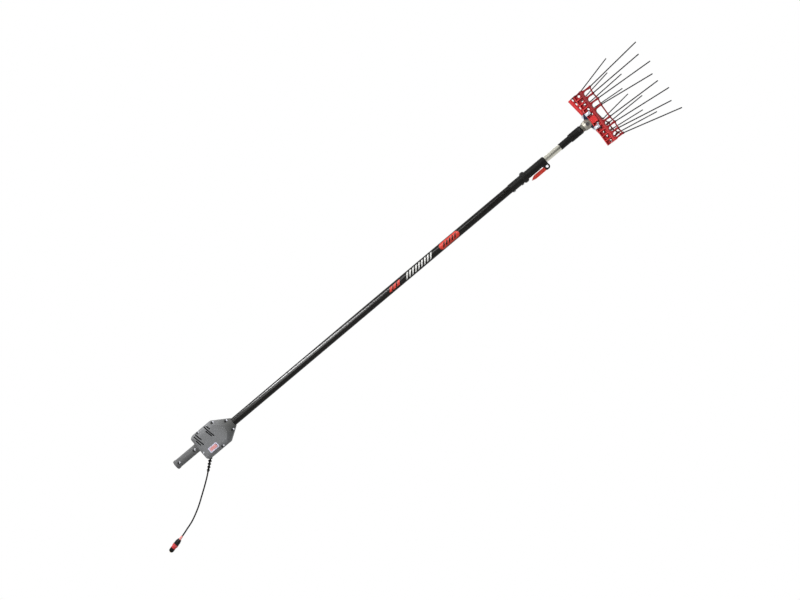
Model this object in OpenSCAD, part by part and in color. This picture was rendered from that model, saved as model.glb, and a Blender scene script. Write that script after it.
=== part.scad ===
// Electric olive harvester: a telescopic pole tool with two counter-swinging combs.
// Frame: Z runs up the pole to the combs, X points to the switch side, Y away from the switch face.
// Origin: the middle of the rear hand grip, on the grip's own axis.

/* [Grip and housing] */
// Diameter of the rear hand grip
grip_d = 38; // [34:0.5:40]
// Length of the grip behind the origin
grip_back = 62.5; // [55:0.5:75]
// Length of the grip ahead of the origin, up to the housing
grip_fwd = 61; // [56:0.5:70]
// Diameter of the rim at the end of the grip
rim_d = 41; // [40.5:0.5:45]
// Housing from the grip axis to the vent side
case_left = 53; // [52:0.5:58]
// Housing from the grip axis to the cord side
case_right = 73; // [71:0.5:78]
// Length of the housing
case_l = 183; // [181:0.5:192]
// Depth of the housing, front to back
case_depth = 92; // [88:0.5:100]
// Radius along the housing's long edges
case_r = 26; // [22:0.5:28]
// Radius round the housing's rear wall
rear_r = 22; // [20:0.5:24]
// Wall of the two shells
case_wall = 3; // [2.5:0.1:3.4]
// Growth of the nose cone's radius for each millimetre down the pole
nose_taper = 0.65; // [0.6:0.01:0.7]
// Width of a vent slot
vent_w = 5; // [4:0.1:5.4]
// Diameter of a housing screw
screw_d = 4; // [3.5:0.1:4.4]

/* [Motor and gears] */
// Diameter of the motor can
motor_d = 58; // [54:0.5:59]
// Room between the gear cover and the end of the nose
nose_room = 59; // [55:0.5:62]
// Diameter of the motor shaft
motor_shaft_d = 8; // [7:0.1:9]
// Module of the gear pair
gear_m = 1.5; // [1.45:0.01:1.55]
// Teeth on the motor pinion
pinion_teeth = 12; // [12:12]
// Teeth on the drive gear
gear_teeth = 24; // [24:24]
// Width of the gears
gear_w = 12; // [10:0.5:12.5]
// Outer diameter of a ball bearing
bearing_d = 22; // [21:0.5:24]
// Width of a ball bearing
bearing_w = 7; // [6:0.5:7.5]
// Diameter of the shaft in the bearings
journal_d = 10; // [9:0.1:11]

/* [Switch] */
// Length of the switch frame along the pole
switch_l = 46; // [42:0.5:50]
// Width of the switch frame
switch_w = 24; // [22:0.5:25]
// Angle that the rocker travels between its two stops
rocker_throw = 14; // [10:1:16]

/* [Pole] */
// Distance from the grip axis to the pole axis
pole_x = 15; // [14:0.5:17]
// Diameter of the outer tube
tube_d = 35; // [34:0.5:37]
// Wall of both tubes
tube_wall = 2; // [1.6:0.1:2.2]
// Length of the outer tube
tube_l = 1655; // [1500:5:1800]
// Depth of the outer tube's seat in the nose
tube_in = 44; // [40:0.5:48]
// Diameter of the inner tube
inner_d = 28; // [27:0.5:28.5]
// Length of inner tube that is inside the outer tube
inner_in = 795; // [760:5:850]
// Bare inner tube between the clamp and the head socket
reveal = 84; // [80:1:120]
// Diameter of the lower drive shaft
shaft_d = 14; // [13:0.1:15]
// Width across the flats of the sliding hexagon rod
hex_af = 8; // [7.5:0.1:8.5]
// Length of the hexagon rod below the top of the lower shaft
rod_in = 750; // [720:5:780]

/* [Clamp] */
// Length of the clamp's skirt on the outer tube
skirt_l = 68; // [60:1:75]
// Diameter of the clamp's flange
flange_d = 51; // [48:0.5:54]
// Length of the clamp's flange
flange_l = 21; // [18:0.5:24]
// Length of the clamp's jaw on the inner tube
jaw_l = 105; // [100:1:115]
// Wall of the clamp
clamp_wall = 4.4; // [4:0.1:4.8]
// Diameter of the lever's pin
lever_pin_d = 6; // [5:0.1:6.5]
// Length of the lever from its pin to its tip
lever_l = 86; // [80:1:90]
// Width of the lever
lever_w = 15.6; // [14:0.2:17]

/* [Head] */
// Length of the thin part of the head socket
neck_l = 55; // [50:1:65]
// Length of the ribbed part of the head socket
barrel_l = 64; // [60:1:70]
// Diameter of the ribbed part at its widest
barrel_d = 38; // [37:0.5:40]
// Height of the comb pivot above the socket
pivot_h = 31; // [30:0.5:33]
// Diameter of the pivot pin
pivot_d = 9; // [8:0.1:9.5]
// Thickness of one rocker hub
hub_w = 9.2; // [8.5:0.1:9.4]
// Throw of each eccentric
ecc = 2; // [1.6:0.1:2]
// Turn of the front comb from straight, with the rear comb turned the other way
comb_yaw = 4.2; // [0:0.1:6]

/* [Combs] */
// Lean of each comb from the pole's direction
comb_tilt = 39.4; // [38:0.1:41]
// Half width of a comb's base
comb_half = 126; // [124:0.5:130]
// Thickness of a comb's base
base_t = 20; // [18:0.5:21]
// Length of a comb's base, rear edge to lip
base_l = 48; // [46:0.5:50]
// Diameter of the holes in a comb's base
hole_d = 13; // [10:0.5:14]
// Pitch of the holes
hole_pitch = 23.2; // [22:0.1:23.4]
// Place of the tines' sockets above the comb's reference line
node_u = 70; // [66:0.5:74]
// Half gap between the two middle tines
tine_first = 31; // [30:0.5:32]
// Pitch of the tines
tine_pitch = 29.5; // [29:0.1:30]
// Diameter of a tine
tine_d = 5; // [4:0.1:5.5]
// Length of a tine beyond its socket
tine_l = 275; // [240:1:300]
// Lean of alternate tines to either side of the comb
tine_lean = 4.2; // [2:0.1:5]
// Lean of all the tines to the cord side
tine_sweep = 2.8; // [0:0.1:4]
// Width of an arm of the comb
arm_w = 9; // [8:0.5:10]

/* [Cord and plug] */
// Diameter of the cord
cord_d = 6.4; // [5.5:0.1:7]
// Diameter of the first bead on the strain relief
bead_d = 17; // [16:0.5:18]
// Pitch of the beads
bead_pitch = 13.2; // [13:0.1:14]
// Beads on the strain relief
beads = 5; // [4:1:5]
// Diameter of the plug's nose
plug_d = 21; // [20.5:0.1:23]

/* [Hidden] */
$fn = 48;

// Clearances
run_fit = 0.05;
slide_fit = 0.3;
seat_fit = 0.1;
eps = 0.01;
far = 200;

// Stations up the pole
case_z0 = grip_fwd;
case_z1 = case_z0 + case_l;
tube_z0 = case_z1 - tube_in;
tube_z1 = tube_z0 + tube_l;
flange_lap = 2;
clamp_z0 = tube_z1 - skirt_l;
flange_z0 = tube_z1 - flange_lap;
flange_z1 = flange_z0 + flange_l;
clamp_z1 = flange_z1 + jaw_l;
inner_z0 = tube_z1 - inner_in;
sock_z0 = clamp_z1 + reveal;
ring_z0 = sock_z0 + neck_l;
sock_z1 = ring_z0 + barrel_l;
pivot_z = sock_z1 + pivot_h;
shaft_z1 = tube_z1 - 5;
inner_drop = 80;
guide_l = 12;
guide_shares = [0.15, 0.52, 0.9];
guide_span = inner_z0 - inner_drop - guide_l - tube_z0;
tube_id = tube_d - 2 * tube_wall;
inner_id = inner_d - 2 * tube_wall;

// Gear train
gear_gap = 1.5;
pressure = 25;
backlash = 0.12;
addendum = 0.9;
centre = gear_m * (pinion_teeth + gear_teeth) / 2;
gear_tip_r = gear_m * (gear_teeth / 2 + addendum);
pinion_tip_r = gear_m * (pinion_teeth / 2 + addendum);
motor_x = pole_x - centre;
motor_r = motor_d / 2;
end_bell_l = 10;
end_bell_r = [motor_r - 6, motor_r - 2];
can_wall = 2;
magnet_t = 5;
commutator_d = 20;
plate_t = 12;
lid_t = 8;
gearbox_l = plate_t + gear_w + 2 * gear_gap + lid_t;
plate_z = case_z1 - nose_room - gearbox_l;
rear_room = 17;
motor_z0 = case_z0 + rear_room;
motor_l = plate_z - motor_z0;
gear_z = plate_z + plate_t + gear_gap;
lid_z = gear_z + gear_w + gear_gap;
gearbox_x0 = motor_x - pinion_tip_r - 6;
gearbox_x1 = pole_x + gear_tip_r + 6;
gearbox_y = gear_tip_r + 5;
shaft_z0 = plate_z + plate_t - bearing_w;
stub_z1 = lid_z + lid_t + 8;
hex_fit = 0.2;
hex_d = hex_af / cos(30);
hex_bore_d = (hex_af + 2 * hex_fit) / cos(30);

// Housing screws: place across and along the housing
head_d = 2 * screw_d;
head_h = 3.5;
head_pocket_d = head_d + 2.5;
pocket_deep = 5;
boss_r = head_pocket_d / 2 + 0.8;
seam_w = 1.2;
seam_deep = 0.8;
screw_reach = 12;
nose_screw_x = tube_d / 2 + 6.5;
switch_share = 19 / 61;
switch_z = case_z0 + switch_share * case_l;
switch_screw_gap = 13;
screws = [[0, -grip_back + 23.5], [0, grip_fwd - 17],
    [-case_left + 5.5, motor_z0 + 29], [-case_left + 12, case_z1 - 63],
    [pole_x - nose_screw_x, case_z1 - 16], [pole_x + nose_screw_x, case_z1 - 16],
    [case_right - 8, switch_z + switch_l / 2 + switch_screw_gap], [case_right - 39, case_z0 + 9]];

// Vent slots: both ends of each slot across and along the housing
vents = [[[10 - case_left, motor_z0 + 4], [8, motor_z0 + 15]],
    [[7 - case_left, motor_z0 + 14], [-15, motor_z0 + 21]],
    [[32 - case_left, motor_z0 + 1], [1, motor_z0 + 4]],
    [[4 - case_left, plate_z - 9.5], [6, plate_z + 1]],
    [[25 - case_left, plate_z - 13.5], [1, plate_z - 7]],
    [[7 - case_left, plate_z + 0.5], [-27, plate_z + 5]]];

// Switch place on the front face
switch_x = case_right - 28.5;
switch_deep = 20;
switch_lip = 3;
face_y = case_depth / 2;
switch_seat = 1.5;
switch_wall = 1.6;
rocker_axis = 3;
rocker_pin = 3;

// Control board, on posts from the rear shell
board_x = [case_right - 49, case_right - 7];
board_gap = 10;
board_z = [case_z0 + 19, plate_z - board_gap];
board_l = board_z[1] - board_z[0];
board_row = board_l / 7.5;
board_y = 20;
board_t = 1.6;
board_inset = 4;

// Strain relief, cord and plug lie in the plane y = 0
relief_at = [case_right - 5.2, case_z0 + 11.7];
relief_dir = [0.64, -0.77];
relief_in = 12;
bead_first = 2.7;
bead_step = 0.9;
bead_round = 8.4;
bead_root_d = bead_d - 1;
relief_neck_d = cord_d + 2;
relief_out = bead_first + (beads - 1) * bead_pitch + bead_round;
cord_end = [247.5, -236];
plug_dir = [0.22, -0.976];
cord_start = relief_at + relief_dir * relief_out / norm(relief_dir);
cord_points = [cord_start, [137, -14], [164, -54], [197, -105], [224, -159], [238, -203], cord_end];
cord_steps = 3;
cord_sides = 10;
sleeve_l = 18;
plug_body_l = 26;
plug_ring_l = 10;
plug_nose_l = 30;
plug_pin_l = 20;
contact_d = 6;

// Clamp and lever
clamp_r = inner_d / 2 + clamp_wall;
skirt_r = tube_d / 2 + 1.8;
lever_x = clamp_r + 9;
lever_z = clamp_z1 - 12;
ear_r = 13;
ear_w = 4.8;
ear_gap = lever_w / 2 + slide_fit;
cam_r = 9;
shoe_gap = 0.2;
shoe_l = 24;
pinch_z = [clamp_z0 + 8, clamp_z0 + 54];
pinch_d = 3;
lug_x = skirt_r + 2.7;
lug_y = 8;
pinch_x = (skirt_r + lug_x) / 2 + 0.4;

// Head
stem_d = 26;
stem_in = 30;
collar_l = 11;
collar_d = stem_d + 7;
collar_rings = [1.8, 6.2];
collar_ring_l = 2.6;
bell_z = sock_z1 + collar_l;
bell_d0 = 36;
bell_d1 = 46;
bell_l = 12;
ball_r = 24;
cheek_w = 5;
cheek_y = hub_w + 2 * slide_fit + 0.2;
rocker_gap = 0.4;
pivot_head_d = pivot_d + 6;
hub_r = 10;
bush_r = pivot_d / 2 + 2;
crank_r = 6;
ecc_r = 4.5;
ecc_w = 3.4;
ecc_lap = 0.2;
ecc_arm = 14;
ecc_z = pivot_z - ecc_arm;
swing = asin(ecc / ecc_arm);
ecc_phase = acos(-sin(comb_yaw) * ecc_arm / ecc);
fork_deep = ecc_arm + ecc_w + 0.4;
crank_z0 = sock_z1 - stem_in + 1;
rod_z1 = sock_z1 - 8;
fork_x = ecc_r + ecc + fork_deep * sin(swing) + slide_fit;
fork_w = 2.5;
fork_y = 7;
fork_room = fork_x + fork_w + fork_deep * sin(swing) + slide_fit;
fork_floor = fork_deep + (fork_x + fork_w) * sin(swing) + slide_fit;

// Combs: u runs along the comb from its reference line, which lies base_y off the pole's axis
base_y = 29.2;
base_z = 31;
ridge_u = -8;
lip_u = ridge_u - base_t / 2 + base_l;
lip_t = 9;
lip_taper = 16;
block_w = 40;
block_t = 2.4;
tongue_t = 6;
tongue_w = 18;
tongue_u = [-22, 6];
strap_t = 2.6;
strap_w = 14;
strap_u = 12;
bolt_x = 1.5 * hole_pitch - 1;
bolt_u = ridge_u + 1;
bolt_d = 6;
bolt_head_d = 12;
bolt_head_h = 4;
nut_af = 10;
nut_h = 5;
holes = 5;
web_t = 3;
rib_t = 4;
pocket_w = hole_pitch - rib_t;
pocket_u = [ridge_u - 2, lip_u - 8];
hole_u = (pocket_u[0] + pocket_u[1]) / 2;
tines = 4;
node_n = 4.8;
fan_first = -2.8;
fan_step = 4;
socket_d = tine_d + 6;
socket_l = 18;
socket_out = 4;
tine_in = 10;
bar_d = 6;
arm_inset = 0.5;

function tine_x(i) = tine_first + i * tine_pitch;
function tine_fan(i) = fan_first + i * fan_step;
// Tines lean inwards and outwards in turn, the outermost inwards
function tine_side(i) = i % 2 == 0 ? -1 : 1;
function node_point(i, s) = [s * tine_x(i), tine_side(i) * node_n, node_u];

// Depth of the front face at a place across and along the housing
function rim_drop(d, r) = d < r ? r - sqrt(r * r - (r - d) * (r - d)) : 0;
function cone_r(z) = tube_d / 2 + 3.5 + (case_z1 - z) * nose_taper;
function surface_y(x, z) = z < case_z0 ? sqrt(grip_d * grip_d / 4 - x * x)
    : min(face_y - rim_drop(min(x + case_left, case_right - x), case_r) - rim_drop(z - case_z0, rear_r),
        sqrt(max(1, cone_r(z) * cone_r(z) - (x - pole_x) * (x - pole_x))));

// Gear outline: involute flanks in a few steps, tooth 0 centred on the X axis
function roll_at(r, base) = sqrt(max(0, r * r / base / base - 1));
function involute(r, base) = roll_at(r, base) * 180 / PI - atan(roll_at(r, base));
function polar(r, a) = [r * cos(a), r * sin(a)];
function flank(teeth, r) =
    let (pitch = gear_m * teeth / 2, base = pitch * cos(pressure))
    90 / teeth - backlash / 2 / pitch * 180 / PI + involute(pitch, base) - involute(max(r, base), base);
function tooth(teeth, i) =
    let (pitch = gear_m * teeth / 2, root = pitch - 1.2 * gear_m, base = pitch * cos(pressure),
        tip = pitch + addendum * gear_m, low = max(root, base), steps = 4, mid = 360 * i / teeth,
        radii = [for (k = [0:steps]) low + (tip - low) * k / steps])
    concat([polar(root, mid - flank(teeth, low))], [for (r = radii) polar(r, mid - flank(teeth, r))],
        [for (k = [steps:-1:0]) polar(radii[k], mid + flank(teeth, radii[k]))],
        [polar(root, mid + flank(teeth, low))]);

// Rectangle with rounded corners, from corner a to corner b
module rounded(a, b, r) {
    translate([a.x + r, a.y]) square([b.x - a.x - 2 * r, b.y - a.y]);
    translate([a.x, a.y + r]) square([b.x - a.x, b.y - a.y - 2 * r]);
    for (x = [a.x + r, b.x - r], y = [a.y + r, b.y - r]) translate([x, y]) circle(r);
}

module ring(outer, inner, h) {
    difference() {
        cylinder(d = outer, h = h);
        translate([0, 0, -1]) cylinder(d = inner, h = h + 2);
    }
}

// Cylinder along Y from y0 to y1
module rod_y(d, y0, y1) {
    translate([0, y0, 0]) rotate([-90, 0, 0]) cylinder(d = d, h = y1 - y0);
}

// Straight bar of round section between two points
module bar(p, q, d) {
    v = q - p;
    translate(p) rotate([0, acos(v.z / norm(v)), atan2(v.y, v.x)]) cylinder(d = d, h = norm(v));
}

module on_pole() {
    translate([pole_x, 0, 0]) children();
}

module on_motor() {
    translate([motor_x, 0, 0]) children();
}

// Puts the Z axis of what follows along a direction in the plane y = 0
module aim(at, dir) {
    translate([at.x, 0, at.y]) rotate([0, atan2(dir.x, dir.y), 0]) children();
}

// Housing body, drawn in by d on every side
module case_body(d) {
    intersection() {
        translate([0, 0, case_z0]) linear_extrude(case_l - d)
            rounded([-case_left + d, -face_y + d], [case_right - d, face_y - d], case_r - d);
        rotate([90, 0, 0]) linear_extrude(far, center = true)
            rounded([-case_left + d, case_z0 + d], [case_right - d, case_z1 + far], rear_r - d);
        rotate([90, 0, 90]) linear_extrude(2 * far, center = true)
            rounded([-face_y + d, case_z0 + d], [face_y - d, case_z1 + far], rear_r - d);
        on_pole() translate([0, 0, case_z0]) cylinder(r1 = cone_r(case_z0) - d * (1 + nose_taper / 2),
            r2 = cone_r(case_z1) - d * (1 + nose_taper / 2), h = case_l);
    }
}

// Hand grip with its end rim and its flare into the housing, drawn in by d
module grip_body(d) {
    r = grip_d / 2 - d;
    rim = rim_d / 2 - d;
    back = -grip_back + d;
    flare = 5;
    rotate_extrude() polygon([[0, back], [rim - 1.5, back], [rim, back + 2], [rim, back + 10],
        [r, back + 15], [r, case_z0 - 10], [r + 0.3 * flare, case_z0 - 5], [r + flare, case_z0 + d],
        [r + flare, case_z0 + d + 4], [0, case_z0 + d + 4]]);
}

module hull_body(d) {
    case_body(d);
    grip_body(d);
}

// Bulkhead across the housing between two heights
module bulkhead(z0, t, x1) {
    translate([-far, -far, z0]) cube([far + x1, 2 * far, t]);
}

module gearbox_plan(grow) {
    rounded([gearbox_x0 - grow, -gearbox_y - grow], [gearbox_x1 + grow, gearbox_y + grow], 8 + grow);
}

// What stands inside a shell: screw bosses, cradles for motor and gearbox, tube seat
module shell_inside() {
    for (s = screws) translate([s.x, 0, s.y]) rod_y(2 * boss_r, -face_y, face_y);
    difference() {
        bulkhead(plate_z + 3, 5, far);
        translate([0, 0, plate_z]) linear_extrude(plate_t) gearbox_plan(seat_fit);
    }
    difference() {
        bulkhead(motor_z0 + motor_l / 2, 4, motor_x + motor_r + 2);
        on_motor() translate([0, 0, motor_z0]) cylinder(r = motor_r + seat_fit, h = motor_l);
    }
    on_pole() translate([0, 0, tube_z0 - 4]) cylinder(r = cone_r(case_z1), h = tube_in + 4);
}

module vent(a, b) {
    v = b - a;
    translate([a.x, 0, a.y]) rotate([0, -atan2(v.y, v.x), 0]) {
        translate([0, -far / 2, -vent_w / 2]) cube([norm(v), far / 2, vent_w]);
        for (x = [0, norm(v)]) translate([x, 0, 0]) rod_y(vent_w, -far / 2, 0);
    }
}

// Passages that both shells share, apart from the screws
module shell_cuts() {
    on_pole() translate([0, 0, tube_z0]) cylinder(d = tube_d + 2 * seat_fit, h = far);
    on_pole() translate([0, 0, case_z0 + 40]) cylinder(d = shaft_d + 8, h = case_l);
    aim(relief_at, relief_dir) translate([0, 0, -relief_in - 6])
        cylinder(d = bead_root_d + 2 * seat_fit, h = relief_in + 30);
}

// Groove along the parting line, half of it in each shell
module seam() {
    difference() {
        translate([-far, -seam_w / 2, -far]) cube([2 * far, seam_w, 3 * far]);
        hull_body(seam_deep);
    }
}

// One shell with y < 0; the back shell is its mirror image
module shell(holes_through) {
    difference() {
        intersection() {
            translate([-far, -far, -far]) cube([2 * far, far, 3 * far]);
            union() {
                difference() {
                    hull_body(0);
                    hull_body(case_wall);
                }
                intersection() {
                    hull_body(case_wall / 2);
                    shell_inside();
                }
            }
        }
        shell_cuts();
        seam();
        for (v = vents) intersection() {
            vent(v[0], v[1]);
            translate([-far, -far, 0]) cube([2 * far, far - 20, far]);
        }
        for (s = screws) translate([s.x, 0, s.y]) {
            seat = surface_y(s.x, s.y) - pocket_deep;
            if (holes_through) {
                rod_y(screw_d + 2 * seat_fit, -far, 1);
                rod_y(head_pocket_d, -far, -seat);
            } else {
                rod_y(screw_d + seat_fit, -screw_reach - 1, 1);
            }
        }
    }
}

module housing_front() {
    hole_w = switch_w - 2 * switch_lip + 2 * seat_fit;
    hole_l = switch_l - 2 * switch_lip + 2 * seat_fit;
    hole_end = -face_y + switch_seat + switch_deep + seat_fit;
    color("dimgray") difference() {
        shell(true);
        translate([switch_x - hole_w / 2, -far, switch_z - hole_l / 2])
            cube([hole_w, far + hole_end, hole_l]);
        switch_flat();
    }
}

// Flat that the switch frame sits on, cut into the curved edge of the face
module switch_flat() {
    translate([switch_x - switch_w / 2 - seat_fit, -face_y - 10, switch_z - switch_l / 2 - seat_fit])
        cube([switch_w + 2 * seat_fit, 10 + switch_seat, switch_l + 2 * seat_fit]);
}

module housing_rear() {
    post_d = 7;
    color("dimgray") union() {
        mirror([0, 1, 0]) shell(false);
        intersection() {
            hull_body(case_wall / 2);
            for (x = [board_x[0] + board_inset, board_x[1] - board_inset])
                for (z = [board_z[0] + board_inset, board_z[1] - board_inset])
                    translate([x, 0, z]) rod_y(post_d, board_y + board_t, face_y);
        }
    }
}

module housing_screws() {
    color("gainsboro") for (s = screws) translate([s.x, 0, s.y]) {
        seat = surface_y(s.x, s.y) - pocket_deep;
        rod_y(screw_d, -seat - eps, screw_reach);
        difference() {
            rod_y(head_d, -seat - head_h, -seat);
            for (a = [0, 90]) rotate([0, a, 0]) translate([-head_d / 3, -seat - head_h - 1, -0.5])
                cube([head_d / 1.5, 2.2, 1]);
        }
    }
}

module motor_can() {
    color("silver") on_motor() difference() {
        translate([0, 0, motor_z0]) cylinder(r = motor_r, h = motor_l);
        translate([0, 0, motor_z0 - 1]) cylinder(r = motor_r - can_wall, h = motor_l - 3);
        translate([0, 0, motor_z0]) cylinder(d = motor_shaft_d + 2 * run_fit, h = motor_l + 1);
    }
}

module motor_magnets() {
    outer = motor_r - can_wall - seat_fit;
    color("darkslategray") on_motor() for (a = [0, 180]) rotate(a) translate([0, 0, motor_z0 + 14])
        intersection() {
            ring(2 * outer, 2 * (outer - magnet_t), motor_l - 26);
            rotate(-60) translate([0, 0, -1]) rotate_extrude(angle = 120) square([motor_r, motor_l]);
        }
}

module motor_end_bell() {
    color("black") on_motor() difference() {
        union() {
            translate([0, 0, motor_z0 - end_bell_l])
                cylinder(r1 = end_bell_r[0], r2 = end_bell_r[1], h = end_bell_l);
            translate([0, 0, motor_z0]) cylinder(r = motor_r - can_wall - seat_fit, h = 3);
        }
        translate([0, 0, motor_z0 - 5]) cylinder(r = motor_r - 8, h = 10);
        translate([0, 0, motor_z0 - end_bell_l - 1])
            cylinder(d = motor_shaft_d + 2 * run_fit, h = end_bell_l + 5);
    }
}

module motor_brushes() {
    reach = motor_r - 2.6;
    color("saddlebrown") on_motor() for (s = [-1, 1]) translate([0, 0, motor_z0 + 3.4])
        rotate(s > 0 ? 0 : 180) intersection() {
            translate([commutator_d / 2 + slide_fit, -4, 0]) cube([reach, 8, 7]);
            cylinder(r = reach, h = far);
        }
}

module motor_shaft() {
    color("lightgray") on_motor() translate([0, 0, motor_z0 - 9.5])
        cylinder(d = motor_shaft_d, h = gear_z + gear_w - motor_z0 + 9.5);
}

module armature() {
    slots = 10;
    core_r = motor_r - can_wall - magnet_t - 1.2;
    color("peru") on_motor() translate([0, 0, motor_z0 + 18]) difference() {
        cylinder(r = core_r, h = motor_l - 34);
        translate([0, 0, -1]) cylinder(d = motor_shaft_d, h = motor_l);
        for (i = [0:slots - 1]) rotate(i * 360 / slots) translate([core_r - 7, -1.5, -1])
            cube([10, 3, motor_l]);
    }
}

module commutator() {
    bars = 10;
    color("orange") on_motor() translate([0, 0, motor_z0 + 3.2]) difference() {
        cylinder(d = commutator_d, h = 13);
        translate([0, 0, -1]) cylinder(d = motor_shaft_d, h = 15);
        for (i = [0:bars - 1]) rotate(i * 360 / bars) translate([commutator_d / 2 - 2, -0.4, -1])
            cube([4, 0.8, 15]);
    }
}

module gear(teeth, bore, turn) {
    linear_extrude(gear_w) difference() {
        rotate(turn) polygon([for (i = [0:teeth - 1]) each tooth(teeth, i)]);
        circle(d = bore);
    }
}

module motor_pinion() {
    color("slategray") on_motor() translate([0, 0, gear_z]) gear(pinion_teeth, motor_shaft_d, 0);
}

module drive_gear() {
    color("slategray") on_pole() translate([0, 0, gear_z]) gear(gear_teeth, journal_d, 180 / gear_teeth);
}

module gear_case() {
    color("lightgray") difference() {
        translate([0, 0, plate_z]) linear_extrude(lid_z - plate_z) gearbox_plan(0);
        translate([0, 0, plate_z + plate_t]) {
            on_pole() cylinder(r = gear_tip_r + 1, h = far);
            on_motor() cylinder(r = pinion_tip_r + 1, h = far);
        }
        on_pole() translate([0, 0, shaft_z0]) cylinder(d = bearing_d + 2 * run_fit, h = far);
        on_motor() translate([0, 0, plate_z - 1]) cylinder(d = motor_shaft_d + 6, h = far);
    }
}

module gear_cover() {
    color("lightgray") difference() {
        translate([0, 0, lid_z]) linear_extrude(lid_t) gearbox_plan(0);
        on_pole() translate([0, 0, lid_z - 1]) cylinder(d = bearing_d + 2 * run_fit, h = bearing_w + 1);
        on_pole() translate([0, 0, lid_z]) cylinder(d = journal_d + 4, h = lid_t + 1);
    }
}

module shaft_bearings() {
    color("silver") on_pole() for (z = [shaft_z0, lid_z]) translate([0, 0, z])
        ring(bearing_d, journal_d + 2 * run_fit, bearing_w);
}

module lower_shaft() {
    color("silver") on_pole() difference() {
        union() {
            translate([0, 0, shaft_z0 + 0.3]) cylinder(d = journal_d, h = stub_z1 - shaft_z0);
            translate([0, 0, stub_z1]) cylinder(d = shaft_d, h = shaft_z1 - stub_z1);
        }
        translate([0, 0, stub_z1 + 12]) rotate(30) cylinder(d = hex_bore_d, h = shaft_z1, $fn = 6);
    }
}

module shaft_tip_bush() {
    color("white") on_pole() translate([0, 0, shaft_z1 - 14])
        ring(inner_id - 2 * slide_fit, shaft_d, 12);
}

module control_board() {
    color("darkgreen") difference() {
        translate([board_x[0], board_y, board_z[0]])
            cube([board_x[1] - board_x[0], board_t, board_l]);
        for (x = [board_x[0] + board_inset, board_x[1] - board_inset])
            for (z = [board_z[0] + board_inset, board_z[1] - board_inset])
                translate([x, 0, z]) rod_y(3, board_y - 1, board_y + board_t + 1);
    }
}

module board_parts() {
    sink = [26, 8, 3];
    color("black") {
        translate([board_x[0] + 14, board_y - 8, board_z[0] + 2 * board_row])
            cylinder(d = 16, h = 3.25 * board_row);
        for (i = [0:3])
            translate([board_x[0] + 26, board_y - sink.y, board_z[0] + (1.75 + i) * board_row])
                cube([12, sink.y, sink.z]);
        translate([board_x[0] + 10, board_y - 9, board_z[1] - 12]) cube([sink.x, 9, 8]);
    }
}

// Two leads from the board's terminal to the motor's end bell
module motor_leads() {
    lead_d = 2.6;
    y0 = board_y - 5;
    x0 = board_x[0] + 3;
    color("firebrick") for (i = [0, 1]) {
        drop = motor_z0 - 2.5 - 4 * i;
        top = [x0, y0 + 3.7 - i * 3.2, board_z[0] + 6];
        low = [x0, top.y, drop];
        end_y = 12 - 6 * i;
        bell_r = end_bell_r[1] + 0.4;
        end = [motor_x + sqrt(bell_r * bell_r - end_y * end_y), end_y, drop];
        bar([top.x, top.y, top.z], low, lead_d);
        translate(low) sphere(d = lead_d);
        bar(low, end, lead_d);
    }
}

module switch_frame() {
    proud = 2.6;
    base_y0 = -face_y + switch_seat;
    inner_w = switch_w - 2 * switch_lip;
    inner_l = switch_l - 2 * switch_lip;
    color("lavender") translate([switch_x, 0, switch_z]) difference() {
        union() {
            translate([-switch_w / 2, base_y0 - proud, -switch_l / 2]) cube([switch_w, proud, switch_l]);
            translate([-inner_w / 2, base_y0 - eps, -inner_l / 2]) cube([inner_w, switch_deep, inner_l]);
        }
        translate([-inner_w / 2 + switch_wall, base_y0 - proud - 1, -inner_l / 2 + switch_wall])
            cube([inner_w - 2 * switch_wall, switch_deep - 2, inner_l - 2 * switch_wall]);
        translate([0, base_y0 + rocker_axis, 0]) rotate([0, 90, 0])
            cylinder(d = rocker_pin + 2 * run_fit, h = inner_w - 0.8, center = true);
    }
}

module switch_rocker() {
    w = switch_w - 2 * switch_lip - 2 * switch_wall - 2 * slide_fit;
    half = (switch_l - 2 * switch_lip) / 2 - switch_wall - 0.9;
    y0 = -face_y + switch_seat + rocker_axis;
    dish = 90;
    color("red") translate([switch_x, y0, switch_z]) rotate([rocker_throw / 2, 0, 0]) {
        rotate([0, 90, 0]) cylinder(d = rocker_pin, h = w + 1.6, center = true);
        difference() {
            translate([-w / 2, -7.2, -half]) cube([w, 9, 2 * half]);
            translate([0, -dish - 5.6, 0]) rotate([0, 90, 0])
                cylinder(r = dish, h = w + 2, center = true, $fn = 120);
        }
    }
}

module strain_relief() {
    color("black") aim(relief_at, relief_dir) {
        translate([0, 0, -relief_in]) cylinder(d = bead_root_d - 2, h = relief_in);
        cylinder(d = relief_neck_d, h = relief_out);
        translate([0, 0, -3]) cylinder(d = bead_root_d, h = bead_first + 7);
        for (i = [1:beads - 1]) translate([0, 0, bead_first + i * bead_pitch]) rotate_extrude()
            intersection() {
                translate([(bead_d - i * bead_step - bead_round) / 2, 0]) circle(d = bead_round);
                translate([0, -bead_round / 2]) square([bead_d, bead_round]);
            }
    }
}

// The cord is a tube swept along a smooth curve through the route's points
function mix(p0, p1, p2, p3, t) = 0.5 * (2 * p1 + (p2 - p0) * t + (2 * p0 - 5 * p1 + 4 * p2 - p3) * t * t
    + (3 * p1 - p0 - 3 * p2 + p3) * t * t * t);
cord_n = len(cord_points);
lead_in = cord_points[1] - 2 * norm(cord_points[1] - cord_points[0]) * relief_dir / norm(relief_dir);
lead_out = cord_points[cord_n - 2] + 2 * norm(cord_end - cord_points[cord_n - 2]) * plug_dir / norm(plug_dir);
cord_all = concat([lead_in], cord_points, [lead_out]);
cord_path = concat([for (i = [0:cord_n - 2], k = [0:cord_steps - 1])
    mix(cord_all[i], cord_all[i + 1], cord_all[i + 2], cord_all[i + 3], k / cord_steps)], [cord_end]);
cord_last = len(cord_path) - 1;
function cord_dir(i) = i == 0 ? relief_dir : i == cord_last ? plug_dir : cord_path[i + 1] - cord_path[i - 1];

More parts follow.
